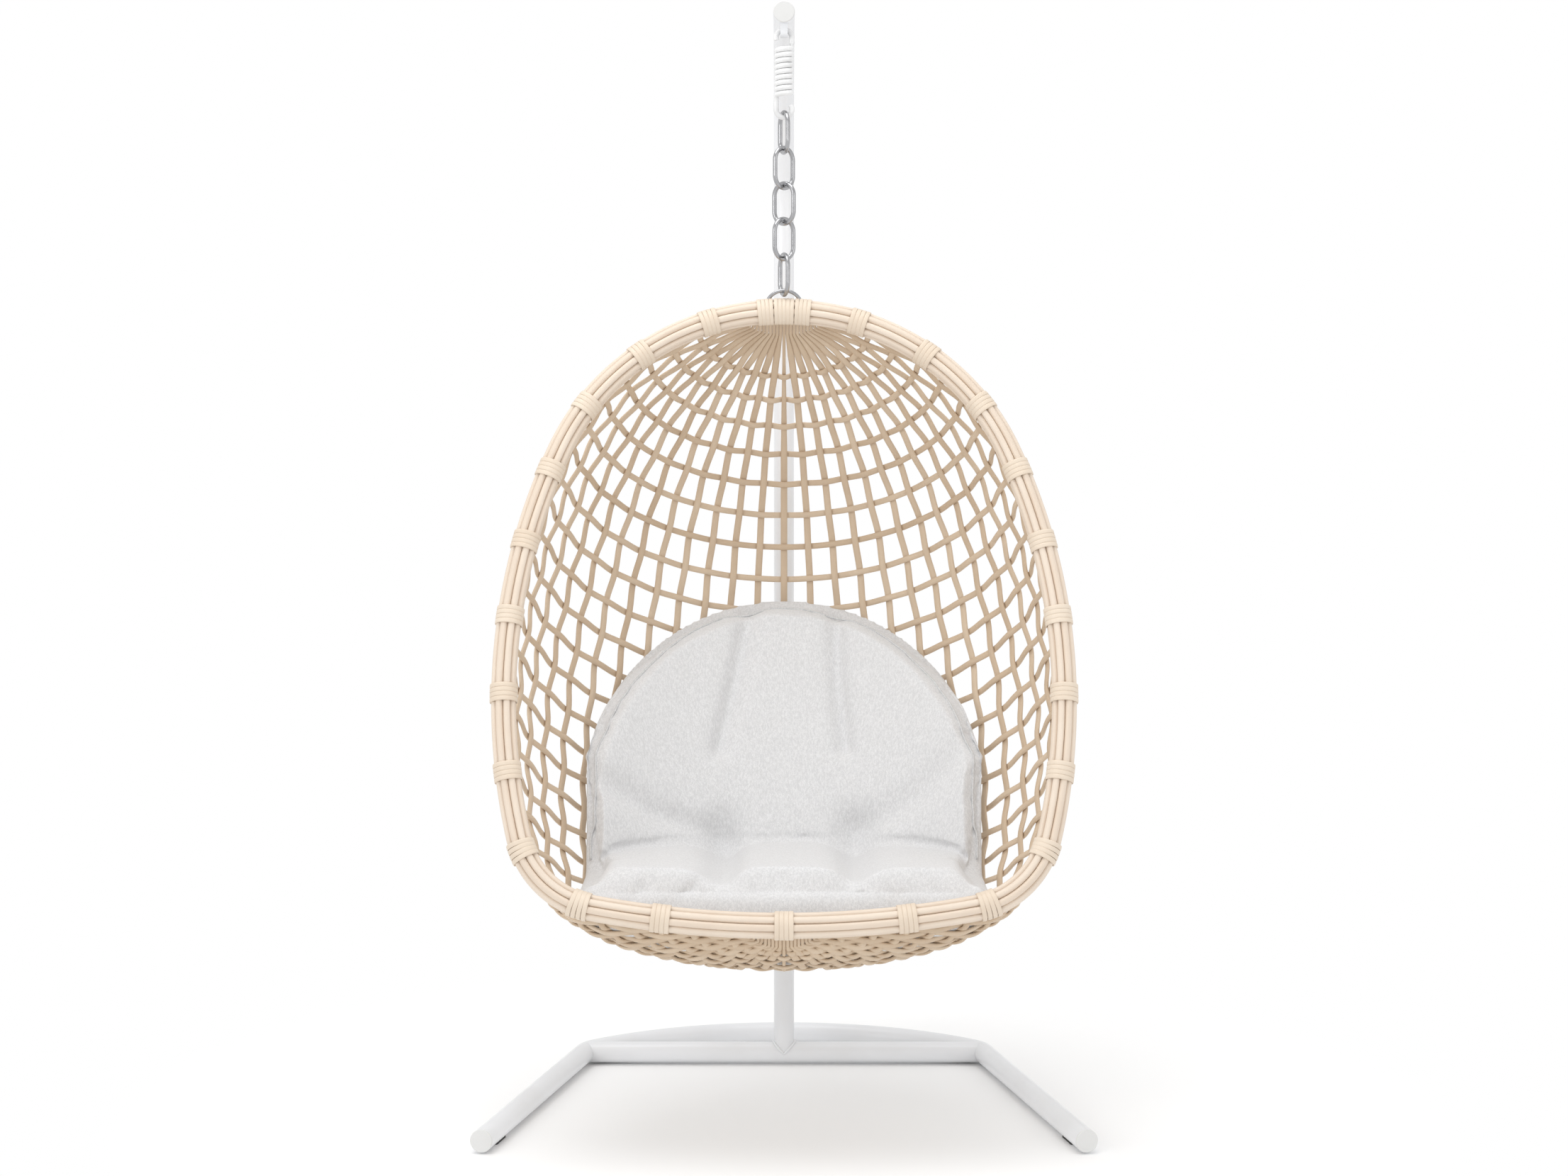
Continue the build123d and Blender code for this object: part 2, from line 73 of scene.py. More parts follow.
camera = bpy.data.objects.new("camera", bpy.data.cameras.new("camera"))
scene.collection.objects.link(camera)
camera.data.sensor_width = CAMERA_SENSOR
camera.data.lens = CAMERA_LENS
camera.data.shift_y = CAMERA_SHIFT
camera.location = CAMERA_AT
camera.rotation_euler = (math.pi / 2, 0.0, 0.0)
scene.camera = camera
scene.view_settings.view_transform = "Standard"


def soft_light(name, place, aim, size, power):
    """A square area light that points at a spot on the chair."""
    lamp = bpy.data.lights.new(name, "AREA")
    lamp.size = size
    lamp.energy = power
    light = bpy.data.objects.new(name, lamp)
    light.location = place
    light.rotation_euler = (Vector(aim) - Vector(place)).to_track_quat("-Z", "Y").to_euler()
    scene.collection.objects.link(light)


for lamp_values in LAMPS:
    soft_light(*lamp_values)

room = bpy.data.worlds.new("room")
room.use_nodes = True
room.node_tree.nodes["Background"].inputs["Color"].default_value = ROOM_COLOUR
room.node_tree.nodes["Background"].inputs["Strength"].default_value = ROOM_STRENGTH
backdrop = room.node_tree.nodes.new("ShaderNodeBackground")
backdrop.inputs["Color"].default_value = ROOM_COLOUR
seen = room.node_tree.nodes.new("ShaderNodeLightPath")
either = room.node_tree.nodes.new("ShaderNodeMixShader")
room.node_tree.links.new(seen.outputs["Is Camera Ray"], either.inputs["Fac"])
room.node_tree.links.new(room.node_tree.nodes["Background"].outputs[0], either.inputs[1])
room.node_tree.links.new(backdrop.outputs[0], either.inputs[2])
room.node_tree.links.new(either.outputs[0], room.node_tree.nodes["World Output"].inputs["Surface"])
scene.world = room


def new_material(name, colour, roughness, metallic=0.0):
    """A material with its Principled shader set, and that shader with its node tree."""
    made = bpy.data.materials.new(name)
    made.use_nodes = True
    shader = made.node_tree.nodes["Principled BSDF"]
    shader.inputs["Base Color"].default_value = colour
    shader.inputs["Roughness"].default_value = roughness
    shader.inputs["Metallic"].default_value = metallic
    return made, shader, made.node_tree


def add_piece(name, mesh):
    """A new object for a finished mesh, in the chair's own frame."""
    piece = bpy.data.objects.new(name, mesh)
    scene.collection.objects.link(piece)
    return piece


floor_mesh = bpy.data.meshes.new("floor")
floor_corners = [(x * FLOOR_SIZE, y * FLOOR_SIZE, 0.0) for x, y in ((-1, -1), (1, -1), (1, 1), (-1, 1))]
floor_mesh.from_pydata(floor_corners, [], [(0, 1, 2, 3)])
floor = add_piece("floor", floor_mesh)
floor_material, floor_shader, floor_tree = new_material("floor_paint", FLOOR_COLOUR, FLOOR_ROUGHNESS)
from_chair = floor_tree.nodes.new("ShaderNodeVectorMath")
from_chair.operation = "LENGTH"
fade = floor_tree.nodes.new("ShaderNodeMapRange")
fade.interpolation_type = "SMOOTHSTEP"
fade.inputs["From Min"].default_value = FLOOR_FADE_FROM
fade.inputs["From Max"].default_value = FLOOR_FADE_TO
bright_floor = floor_tree.nodes.new("ShaderNodeEmission")
fading = floor_tree.nodes.new("ShaderNodeMixShader")
floor_tree.links.new(floor_tree.nodes.new("ShaderNodeTexCoord").outputs["Object"], from_chair.inputs[0])
floor_tree.links.new(from_chair.outputs["Value"], fade.inputs["Value"])
floor_tree.links.new(fade.outputs["Result"], fading.inputs["Fac"])
floor_tree.links.new(floor_shader.outputs[0], fading.inputs[1])
floor_tree.links.new(bright_floor.outputs[0], fading.inputs[2])
floor_tree.links.new(fading.outputs[0], floor_tree.nodes["Material Output"].inputs["Surface"])
floor.data.materials.append(floor_material)

# Stand: bent steel tube of one size, welded, blasted and powder coated white. The coat is satin,
# with the faint orange peel of baked powder and a little dust where it has been handled.
COAT_COLOUR = (0.82, 0.83, 0.85, 1.0)
COAT_DUST = (0.72, 0.72, 0.72, 1.0)
COAT_ROUGHNESS = 0.34


def effect_group(name, values, colours):
    """An empty effect group with named inputs, which puts out a colour, a roughness and a height."""
    group = bpy.data.node_groups.new(name, "ShaderNodeTree")
    for label in colours:
        group.interface.new_socket(label, in_out="INPUT", socket_type="NodeSocketColor")
    for label in values:
        group.interface.new_socket(label, in_out="INPUT", socket_type="NodeSocketFloat")
    group.interface.new_socket("Colour", in_out="OUTPUT", socket_type="NodeSocketColor")
    group.interface.new_socket("Roughness", in_out="OUTPUT", socket_type="NodeSocketFloat")
    group.interface.new_socket("Height", in_out="OUTPUT", socket_type="NodeSocketFloat")
    return group, group.nodes.new("NodeGroupInput"), group.nodes.new("NodeGroupOutput")


def put_noise(tree, coordinates, scale, detail=3.0):
    """A noise texture whose scale is a number or another node's output."""
    noise = tree.nodes.new("ShaderNodeTexNoise")
    noise.inputs["Detail"].default_value = detail
    tree.links.new(coordinates, noise.inputs["Vector"])
    if isinstance(scale, float):
        noise.inputs["Scale"].default_value = scale
    else:
        tree.links.new(scale, noise.inputs["Scale"])
    return noise.outputs["Fac"]


def put_range(tree, value, low, high, out_low, out_high):
    """A value carried from one range to another, held at both ends."""
    ramp = tree.nodes.new("ShaderNodeMapRange")
    tree.links.new(value, ramp.inputs["Value"])
    for label, amount in (("From Min", low), ("From Max", high), ("To Min", out_low), ("To Max", out_high)):
        if isinstance(amount, (int, float)):
            ramp.inputs[label].default_value = amount
        else:
            tree.links.new(amount, ramp.inputs[label])
    return ramp.outputs["Result"]


def put_mix(tree, share, first, second):
    """Two colours mixed by a value."""
    mix = tree.nodes.new("ShaderNodeMix")
    mix.data_type = "RGBA"
    tree.links.new(share, mix.inputs[0])
    tree.links.new(first, mix.inputs[6])
    tree.links.new(second, mix.inputs[7])
    return mix.outputs[2]


def put_math(tree, operation, first, second):
    """One step of arithmetic on values that change over the surface."""
    step = tree.nodes.new("ShaderNodeMath")
    step.operation = operation
    for socket, amount in zip(step.inputs, (first, second)):
        if isinstance(amount, (int, float)):
            socket.default_value = amount
        else:
            tree.links.new(amount, socket)
    return step.outputs[0]


speckle, speckle_in, speckle_out = effect_group(
    "speckled_skin", ["Grain", "Patches", "Roughness"], ["Clean", "Worn"]
)
place = speckle.nodes.new("ShaderNodeTexCoord").outputs["Object"]
patches = put_range(speckle, put_noise(speckle, place, speckle_in.outputs["Patches"]), 0.42, 0.78, 0.0, 0.6)
grain = put_noise(speckle, place, speckle_in.outputs["Grain"])
rough_low = put_math(speckle, "MULTIPLY", speckle_in.outputs["Roughness"], 0.85)
rough_high = put_math(speckle, "MULTIPLY", speckle_in.outputs["Roughness"], 1.25)
speckle.links.new(
    put_mix(speckle, patches, speckle_in.outputs["Clean"], speckle_in.outputs["Worn"]),
    speckle_out.inputs["Colour"],
)
speckle.links.new(
    put_range(speckle, patches, 0.0, 0.6, rough_low, rough_high), speckle_out.inputs["Roughness"]
)
speckle.links.new(grain, speckle_out.inputs["Height"])


def use_effect(group, made, shader, tree, bump_depth, strength, colours, values):
    """The group placed in a material, feeding its colour, roughness and bump."""
    effect = tree.nodes.new("ShaderNodeGroup")
    effect.node_tree = group
    for label, amount in {**colours, **values}.items():
        effect.inputs[label].default_value = amount
    bump = tree.nodes.new("ShaderNodeBump")
    bump.inputs["Distance"].default_value = bump_depth
    bump.inputs["Strength"].default_value = strength
    tree.links.new(effect.outputs["Height"], bump.inputs["Height"])
    tree.links.new(effect.outputs["Colour"], shader.inputs["Base Color"])
    tree.links.new(effect.outputs["Roughness"], shader.inputs["Roughness"])
    tree.links.new(bump.outputs["Normal"], shader.inputs["Normal"])
    return made


def speckled(name, clean, worn, roughness, grain_scale, patch_scale, depth, metallic=0.0, coat=0.0):
    """A coated, moulded or galvanised skin."""
    made, shader, tree = new_material(name, clean, roughness, metallic)
    shader.inputs["Coat Weight"].default_value = coat
    shader.inputs["Coat Roughness"].default_value = 0.15
    return use_effect(
        speckle, made, shader, tree, depth, 0.35,
        {"Clean": clean, "Worn": worn},
        {"Grain": grain_scale, "Patches": patch_scale, "Roughness": roughness},
    )


def dress(node, material):
    """Gives a CAD node its finish."""
    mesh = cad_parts[node].data
    mesh.materials.clear()
    mesh.materials.append(material)


white_coat = speckled(
    "white_powder_coat", COAT_COLOUR, COAT_DUST, COAT_ROUGHNESS, 900.0, 5.0, 0.0003, coat=0.25
)
for node in ("base_hoop", "base_crossbar", "column_lower", "column_upper", "hanging_eye"):
    dress(node, white_coat)

# Caps, pads, sleeve and screws: moulded plastic caps close the tube ends, rubber pads keep the
# hoop off the floor, and a plain steel sleeve inside joins the column's two lengths with screws.
cap_plastic = speckled("cap_plastic", (0.72, 0.72, 0.71, 1), (0.60, 0.59, 0.57, 1), 0.5, 700.0, 9.0, 0.0004)
for node in ("foot_cap_left", "foot_cap_right", "arm_end_cap"):
    dress(node, cap_plastic)
pad_rubber = speckled("pad_rubber", (0.03, 0.03, 0.03, 1), (0.07, 0.07, 0.065, 1), 0.8, 500.0, 20.0, 0.0004)
dress("glide_pads", pad_rubber)
bare_steel = speckled(
    "plain_steel", (0.32, 0.32, 0.33, 1), (0.22, 0.19, 0.16, 1), 0.42, 600.0, 14.0, 0.0002, metallic=1.0
)
for node in ("column_spigot", "rim_core"):
    dress(node, bare_steel)
satin_steel = speckled(
    "satin_zinc", (0.44, 0.44, 0.45, 1), (0.32, 0.32, 0.33, 1), 0.24, 420.0, 60.0, 0.0002, metallic=1.0
)
for node in ("column_bolts", "hanger_ring", "chain_link_1", "chain_link_2", "chain_link_3",
             "chain_link_4", "chain_link_5"):
    dress(node, satin_steel)


# Weld at the column's foot: a small bead laid round the tube where it is coped over the crossbar,
# under the same white coat.
TUBE_R = 0.019
BEAD_R = 0.0022
BEAD_STEPS = 48
TONE_SEED = 7
BEAD_SHOWS_SIDE = 0.4           # shares of the bead's radius that stand out of the tubes
BEAD_SHOWS_UP = 0.3
bar_low, bar_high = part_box("base_crossbar")
bar_y = (bar_low.y + bar_high.y) / 2
bar_z = (bar_low.z + bar_high.z) / 2


def unit(rows):
    """Each row scaled to length one."""
    return rows / np.maximum(np.linalg.norm(rows, axis=1, keepdims=True), 1e-12)


def swept(name, lines, sides=10, flatness=1.0):
    """One mesh of cords. Each line is (points, normals, width, thickness, closed); flatness below 1
    squares the section off, and a width may be one number or one for each point."""
    corners, faces, along, tones = [], [], [], []
    draw = np.random.default_rng(TONE_SEED)
    turn = (np.arange(sides) + 0.5) * 2 * math.pi / sides
    side_share = np.sign(np.cos(turn)) * np.abs(np.cos(turn)) ** flatness
    face_share = np.sign(np.sin(turn)) * np.abs(np.sin(turn)) ** flatness
    for points, normals, width, thickness, closed in lines:
        count, base = len(points), sum(len(rings) for rings in corners)
        if closed:
            tangent = unit(np.roll(points, -1, 0) - np.roll(points, 1, 0))
        else:
            tangent = unit(np.gradient(points, axis=0))
        normal = unit(normals - tangent * np.sum(normals * tangent, axis=1, keepdims=True))
        across = np.cross(tangent, normal)
        widths = np.broadcast_to(width, count)
        ring = (
            points[:, None]
            + across[:, None] * (widths[:, None] / 2 * side_share)[:, :, None]
            + normal[:, None] * (face_share * thickness / 2)[None, :, None]
        )
        corners.append(ring.reshape(-1, 3))
        run = np.concatenate([[0.0], np.cumsum(np.linalg.norm(np.diff(points, axis=0), axis=1))])
        along.append(np.repeat(run, sides))
        tones.append(np.full(count * sides, draw.random()))
        rows = np.arange(count if closed else count - 1)[:, None]
        corner = np.arange(sides)[None]
        beside = (corner + 1) % sides
        this_ring = base + rows * sides
        next_ring = base + ((rows + 1) % count) * sides
        quads = np.stack([this_ring + corner, this_ring + beside, next_ring + beside, next_ring + corner], -1)
        faces.extend(quads.reshape(-1, 4).tolist())
        if not closed:
            faces.append(list(range(base + sides - 1, base - 1, -1)))
            faces.append(list(range(base + (count - 1) * sides, base + count * sides)))
    mesh = bpy.data.meshes.new(name)
    mesh.from_pydata(np.concatenate(corners).tolist(), [], faces)
    mesh.polygons.foreach_set("use_smooth", [len(face) == 4 for face in faces])
    for label, values in (("cord_run", along), ("cord_tone", tones)):
        mesh.attributes.new(label, "FLOAT", "POINT").data.foreach_set("value", np.concatenate(values))
    return add_piece(name, mesh)


bead_turn = np.linspace(0, 2 * math.pi, BEAD_STEPS, endpoint=False)
bead_out = TUBE_R + BEAD_R * BEAD_SHOWS_SIDE
bead_points = np.stack([
    bead_out * np.cos(bead_turn),
    bar_y + bead_out * np.sin(bead_turn),
    bar_z + np.sqrt(np.maximum(bead_out ** 2 - (bead_out * np.sin(bead_turn)) ** 2, 0))
    + BEAD_R * BEAD_SHOWS_UP,
], 1)
bead_normals = np.stack([np.cos(bead_turn), np.sin(bead_turn), np.zeros(BEAD_STEPS)], 1)
weld = swept("column_weld", [(bead_points, bead_normals, 2 * BEAD_R, 2 * BEAD_R, True)], 8)
weld.data.materials.append(white_coat)
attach(weld, "stand")

# Spring: one length of round wire, closed coil, with a hook turned up at the top and one turned
# down at the bottom. It is coated glossy white. It stretches between the eye and the first link.
WIRE = 0.0095
COIL_R = 0.01325
HOOK_R = 0.014
COIL_TURNS = 8.5
coil_low, coil_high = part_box("spring_coil")
hook_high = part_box("spring_top_hook")[1]
hook_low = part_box("spring_bottom_hook")[0]
hang_y = (coil_low.y + coil_high.y) / 2
coil_first = coil_high.z - WIRE / 2
coil_pitch = (coil_high.z - coil_low.z - WIRE) / (COIL_TURNS - 0.5)
top_hook_z = hook_high.z - WIRE / 2 - HOOK_R
low_hook_z = hook_low.z + WIRE / 2 + HOOK_R


def arc_points(centre_z, start, finish, steps):
    """Points on a hook's half circle, in the plane across the chair, by angle from +X."""
    swing = np.radians(np.linspace(start, finish, steps))
    return np.stack([HOOK_R * np.cos(swing), np.full(steps, hang_y), centre_z + HOOK_R * np.sin(swing)], 1)


top_hook = arc_points(top_hook_z, 200, 0, 40)
top_stem = np.array([[HOOK_R, hang_y, coil_first + 0.004], [HOOK_R - 0.0004, hang_y, coil_first + 0.0015]])
coil_turn = np.linspace(0, COIL_TURNS, int(COIL_TURNS * 36))
coil = np.stack([
    COIL_R * np.cos(2 * math.pi * coil_turn),
    hang_y - COIL_R * np.sin(2 * math.pi * coil_turn),
    coil_first - coil_pitch * coil_turn,
], 1)
low_stem = np.array([[-HOOK_R, hang_y, low_hook_z + 0.012], [-HOOK_R, hang_y, low_hook_z + 0.006]])
low_hook = arc_points(low_hook_z, 180, 395, 44)
spring_path = np.concatenate([top_hook, top_stem, coil[1:], low_stem, low_hook])
for _ in range(3):
    spring_path[1:-1] = (spring_path[:-2] + 2 * spring_path[1:-1] + spring_path[2:]) / 4
spring_normals = np.tile([0.0, 0.3, 1.0], (len(spring_path), 1))
spring = swept("hanging_spring", [(spring_path, spring_normals, WIRE, WIRE, False)], 16)
spring_white = speckled(
    "glossy_white_coat", (0.82, 0.82, 0.82, 1), (0.60, 0.60, 0.60, 1), 0.22, 300.0, 30.0, 0.0002, coat=0.6
)
spring.data.materials.append(spring_white)
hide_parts("spring_top_hook", "spring_coil", "spring_bottom_hook")
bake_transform(spring)

# Rim: a steel hoop hidden inside eight resin strands laid side by side along it. The strands are
# pale cream and satin, drawn with fine lines along their length, and dark where they meet.
RIM_LEAN = math.radians(20.5)
RIM_ARCS = ((0.420, 67.5), (1.067, 36.9), (0.158, 65.2))
CORE_R = 0.0095
STRAND_D = 0.0116
STRAND_GAP = 0.0003
STRAND_COUNT = 8
STRAND_SQUARE = 0.82            # below 1, strands pressed together are a little squared
PATH_SPACING = 0.004


def arc_chain(heading, steps, spacing):
    """Points and outward normals along arcs that all turn left, and the length along them."""
    at, turned, points, normals = np.zeros(2), math.radians(heading), [], []
    for radius, sweep in steps:
        sweep = math.radians(sweep)
        centre = at + radius * np.array([-math.sin(turned), math.cos(turned)])
        count = max(3, int(radius * sweep / spacing))
        angles = turned + np.linspace(0, sweep, count + 1)[:-1]
        outward = np.stack([np.sin(angles), -np.cos(angles)], 1)
        points.append(centre + radius * outward)
        normals.append(outward)
        turned += sweep
        at = centre + radius * np.array([math.sin(turned), -math.cos(turned)])
    points.append(at[None])
    normals.append(np.array([[math.sin(turned), -math.cos(turned)]]))
    points, normals = np.concatenate(points), np.concatenate(normals)
    run = np.concatenate([[0.0], np.cumsum(np.linalg.norm(np.diff(points, axis=0), axis=1))])
    return points, normals, run


closing_sweep = 180 - sum(sweep for _, sweep in RIM_ARCS)
corner_end = arc_chain(0, RIM_ARCS, PATH_SPACING)[0][-1]
closing_r = corner_end[0] / math.sin(math.radians(closing_sweep))
rim_half, rim_half_out, rim_run = arc_chain(0, RIM_ARCS + ((closing_r, closing_sweep),), PATH_SPACING)
rim_length = rim_run[-1]
rim_line = np.concatenate([rim_half, (rim_half * [-1, 1])[-2:0:-1]])
rim_out = np.concatenate([rim_half_out, (rim_half_out * [-1, 1])[-2:0:-1]])
strand_ring_r = CORE_R + STRAND_GAP + STRAND_D / 2
bundle_r = strand_ring_r + STRAND_D / 2
rim_top_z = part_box("rim_core")[1].z - CORE_R


def basket_point(u, v, w):
    """From the rim's own plane (across, down along it, behind it) to the chair's frame."""
    return np.stack([
        u,
        hang_y - v * math.sin(RIM_LEAN) + w * math.cos(RIM_LEAN),
        rim_top_z - v * math.cos(RIM_LEAN) - w * math.sin(RIM_LEAN),
    ], -1)


def basket_direction(u, v, w):
    """The same for a direction."""
    return basket_point(u, v, w) - basket_point(u * 0, v * 0, w * 0)


strand_lines = []
for number in range(STRAND_COUNT):
    angle = 2 * math.pi * (number + 0.5) / STRAND_COUNT
    outward, lift = strand_ring_r * math.cos(angle), strand_ring_r * math.sin(angle)
    path = rim_line + rim_out * outward
    points = basket_point(path[:, 0], path[:, 1], np.full(len(path), lift))
    facing = basket_direction(
        rim_out[:, 0] * math.cos(angle), rim_out[:, 1] * math.cos(angle), np.full(len(path), math.sin(angle))
    )
    strand_lines.append((points, facing, STRAND_D, STRAND_D, True))
strands = swept("rim_strand_bundle", strand_lines, 16, STRAND_SQUARE)

cord_skin, cord_in, cord_out = effect_group(
    "drawn_cord", ["Lines", "Tone Spread", "Roughness"], ["Clean", "Worn", "Pale"]
)
run = cord_skin.nodes.new("ShaderNodeAttribute")
run.attribute_name = "cord_run"
tone = cord_skin.nodes.new("ShaderNodeAttribute")
tone.attribute_name = "cord_tone"
spot = cord_skin.nodes.new("ShaderNodeTexCoord").outputs["Object"]
streaks = put_noise(cord_skin, spot, cord_in.outputs["Lines"], 2.0)
blotches = put_range(cord_skin, put_noise(cord_skin, spot, 22.0), 0.35, 0.75, 0.0, 0.75)
tone_share = put_math(cord_skin, "MULTIPLY", tone.outputs["Fac"], cord_in.outputs["Tone Spread"])
waves = put_math(cord_skin, "SINE", put_math(cord_skin, "MULTIPLY", run.outputs["Fac"], 55.0), 0.0)
wave_share = put_range(cord_skin, waves, -1.0, 1.0, 0.0, 0.04)
worn_share = put_math(cord_skin, "ADD", put_math(cord_skin, "MULTIPLY", blotches, 0.32), wave_share)
first_mix = put_mix(cord_skin, tone_share, cord_in.outputs["Clean"], cord_in.outputs["Pale"])
worn_mix = put_mix(cord_skin, worn_share, first_mix, cord_in.outputs["Worn"])
cord_skin.links.new(worn_mix, cord_out.inputs["Colour"])
smooth_end = put_math(cord_skin, "MULTIPLY", cord_in.outputs["Roughness"], 0.8)
rough_end = put_math(cord_skin, "MULTIPLY", cord_in.outputs["Roughness"], 1.25)
cord_roughness = put_range(cord_skin, streaks, 0.3, 0.7, smooth_end, rough_end)
cord_skin.links.new(cord_roughness, cord_out.inputs["Roughness"])
cord_skin.links.new(streaks, cord_out.inputs["Height"])


def resin(name, clean, worn, pale, roughness, spread):
    """Resin cord: satin, with drawn lines and a tone of its own for every length."""
    made, shader, tree = new_material(name, clean, roughness)
    shader.inputs["Specular IOR Level"].default_value = 0.42
    return use_effect(
        cord_skin, made, shader, tree, 0.0006, 0.4,
        {"Clean": clean, "Worn": worn, "Pale": pale},
        {"Lines": 420.0, "Tone Spread": spread, "Roughness": roughness},
    )


strand_resin = resin(
    "cream_strand", (0.76, 0.645, 0.53, 1), (0.66, 0.52, 0.40, 1), (0.82, 0.72, 0.61, 1), 0.42, 0.6
)
strands.data.materials.append(strand_resin)
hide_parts("rim_strands")
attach(strands, "basket")

# Bindings: lengths of the same resin cord wound tight round the strands, four turns at each place
# and thirteen turns in three groups at the top, where they cover the hanger ring's feet.
CORD_THICK = 0.0026
CORD_SQUARE = 0.6
CORD_LIFT = 0.35                # share of its thickness by which the cord stands off the strands
STEP_FROM = 0.85                # share of each turn after which the cord steps over to the next
BINDING_PITCH = 0.134
BINDING_COUNT = 24
BINDING_TURNS = 4
BINDING_L = 0.031
TOP_TURN_W = 0.0070
TOP_GROUPS = ((-0.0330, 4), (0.0, 5), (0.0330, 4))


def rim_at(distance):
    """Point and outward normal in the rim's plane, this far along it from the top."""
    side = np.where(np.mod(distance, 2 * rim_length) > rim_length, -1.0, 1.0)
    share = np.mod(distance, 2 * rim_length)
    share = np.where(share > rim_length, 2 * rim_length - share, share)
    point, out = (
        np.array([np.interp(share, rim_run, half[:, 0]) * side, np.interp(share, rim_run, half[:, 1])])
        for half in (rim_half, rim_half_out)
    )
    return point, out


def winding(middle, turns, width):
    """Flat cord wound round the strands: each turn lies square, and steps over to the next behind."""
    turn = np.linspace(0, turns, int(turns * 36))
    step = np.clip((np.mod(turn, 1.0) - STEP_FROM) / (1 - STEP_FROM), 0, 1)
    along = np.minimum(np.floor(turn) + step * step * (3 - 2 * step), turns - 1.0)
    point, out = rim_at(middle + (along - (turns - 1) / 2) * width)
    angle = 2 * math.pi * (turn - (1 + STEP_FROM) / 2) + math.pi / 2
    reach = bundle_r + CORD_THICK * CORD_LIFT
    u, v = point + out * reach * np.cos(angle)
    points = basket_point(u, v, reach * np.sin(angle))
    facing = basket_direction(out[0] * np.cos(angle), out[1] * np.cos(angle), np.sin(angle))
    return points, facing, width * 1.01, CORD_THICK, False


places = [n * BINDING_PITCH for n in range(1 - BINDING_COUNT // 2, BINDING_COUNT // 2) if n] + [rim_length]
binding_lines = [winding(middle, BINDING_TURNS, BINDING_L / BINDING_TURNS) for middle in places]
bindings = swept("rim_binding_cords", binding_lines, 12, CORD_SQUARE)
top_lines = [winding(middle, turns, TOP_TURN_W) for middle, turns in TOP_GROUPS]
top_binding = swept("rim_top_binding_cord", top_lines, 12, CORD_SQUARE)
binding_resin = resin(
    "tan_binding", (0.75, 0.635, 0.51, 1), (0.63, 0.49, 0.36, 1), (0.81, 0.71, 0.59, 1), 0.46, 0.6
)
for piece, node in ((bindings, "rim_bindings"), (top_binding, "rim_top_binding")):
    piece.data.materials.append(binding_resin)
    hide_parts(node)
    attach(piece, "basket")

# Weave: upright cords leave the rim's top side by side, fan out over the back and draw together
# again under the seat. Level cords pass over and under them from one side of the rim to the other.
BACK_HEADING = 9.0
BACK_ARCS = ((0.459, 63.0), (0.987, 37.6), (0.282, 38.0))
BELLY_SLOPE = 0.85
WEAVE_LEAD = 0.028
BINDING_R = 0.0242
UPRIGHTS_EACH_SIDE = 12
UPRIGHT_ANGLE = math.radians(6.92)
UPRIGHT_CLOSE = 0.0060
UPRIGHT_W = 0.0125
LEVEL_W = 0.0110
WEAVE_CORD_T = 0.0060
WEAVE_WAVE = 0.0035
WAVE_FADE = 0.004               # the wave dies away this close to the rim
LEVEL_COUNT = 29
LEVEL_FIRST = 0.078
LEVEL_LAST = 0.952
LEVEL_POINTS = 260
LEVEL_TUCK = 0.014              # how far a level cord's ends reach in behind the rim
UPRIGHT_TUCK = 0.012            # how far behind the rim's middle an upright ends
UPRIGHT_SPACING = 0.007
MIDDLE_NARROW = 0.12            # length over which the middle upright stays narrow at each end
MIDDLE_WIDENS = 0.03            # and how fast it then widens
WEAVE_SQUARE = 0.85

back_end = arc_chain(BACK_HEADING, BACK_ARCS, PATH_SPACING)[0][-1]
rim_height = rim_half[-1, 1]
to_lip = np.array([-back_end[0], rim_height - back_end[1]])
heel_heading = BACK_HEADING + sum(sweep for _, sweep in BACK_ARCS)
lip_half = (math.degrees(math.atan2(to_lip[1], to_lip[0])) - heel_heading) % 360
lip_r = np.linalg.norm(to_lip) / (2 * math.sin(math.radians(lip_half)))
back_line, _, back_run = arc_chain(BACK_HEADING, BACK_ARCS + ((lip_r, 2 * lip_half),), PATH_SPACING)
back_length = back_run[-1]
behind_rim = BINDING_R + STRAND_GAP


def weave_frame(share):
    """Half width, reach and place of the level section at this share of the way down."""
    rim_far = WEAVE_LEAD + share * (rim_length - 2 * WEAVE_LEAD)
    lead = WEAVE_LEAD + BINDING_R
    back_share = share + BELLY_SLOPE * share**2 * (1 - share)
    back_far = lead + back_share * (back_length - 2 * lead)
    half_width = np.interp(rim_far, rim_run, rim_half[:, 0])
    rim_down = np.interp(rim_far, rim_run, rim_half[:, 1])
    depth = np.interp(back_far, back_run, back_line[:, 0])
    back_down = np.interp(back_far, back_run, back_line[:, 1])
    return half_width, rim_down, depth - behind_rim, back_down - rim_down


def weave_point(share, angle, reach_more=0.0):
    """A point of the woven wall: angle 0 is the middle of the back, a quarter turn is the rim."""
    half_width, rim_down, rearward, downward = weave_frame(share)
    reach = np.hypot(rearward, downward)
    deep = reach * np.cos(angle) + reach_more
    return basket_point(
        half_width * np.sin(angle), rim_down + deep * downward / reach, behind_rim + deep * rearward / reach
    )


def weave_normal(share, angle):
    """The wall's normal, towards the inside of the basket."""
    small = 1e-3
    angle = np.clip(angle, -math.pi / 2 + 0.02, math.pi / 2 - 0.02)
    low, high = np.clip(share - small, 0, 1), np.clip(share + small, 0, 1)
    down = weave_point(high, angle) - weave_point(low, angle)
    across = weave_point(share, angle + small) - weave_point(share, angle - small)
    normal = unit(np.cross(down, across))
    inside = np.array([0.0, hang_y - 0.15, 0.85])
    flip = np.sign(np.sum((inside - weave_point(share, angle)) * normal, axis=1, keepdims=True))
    return normal * flip


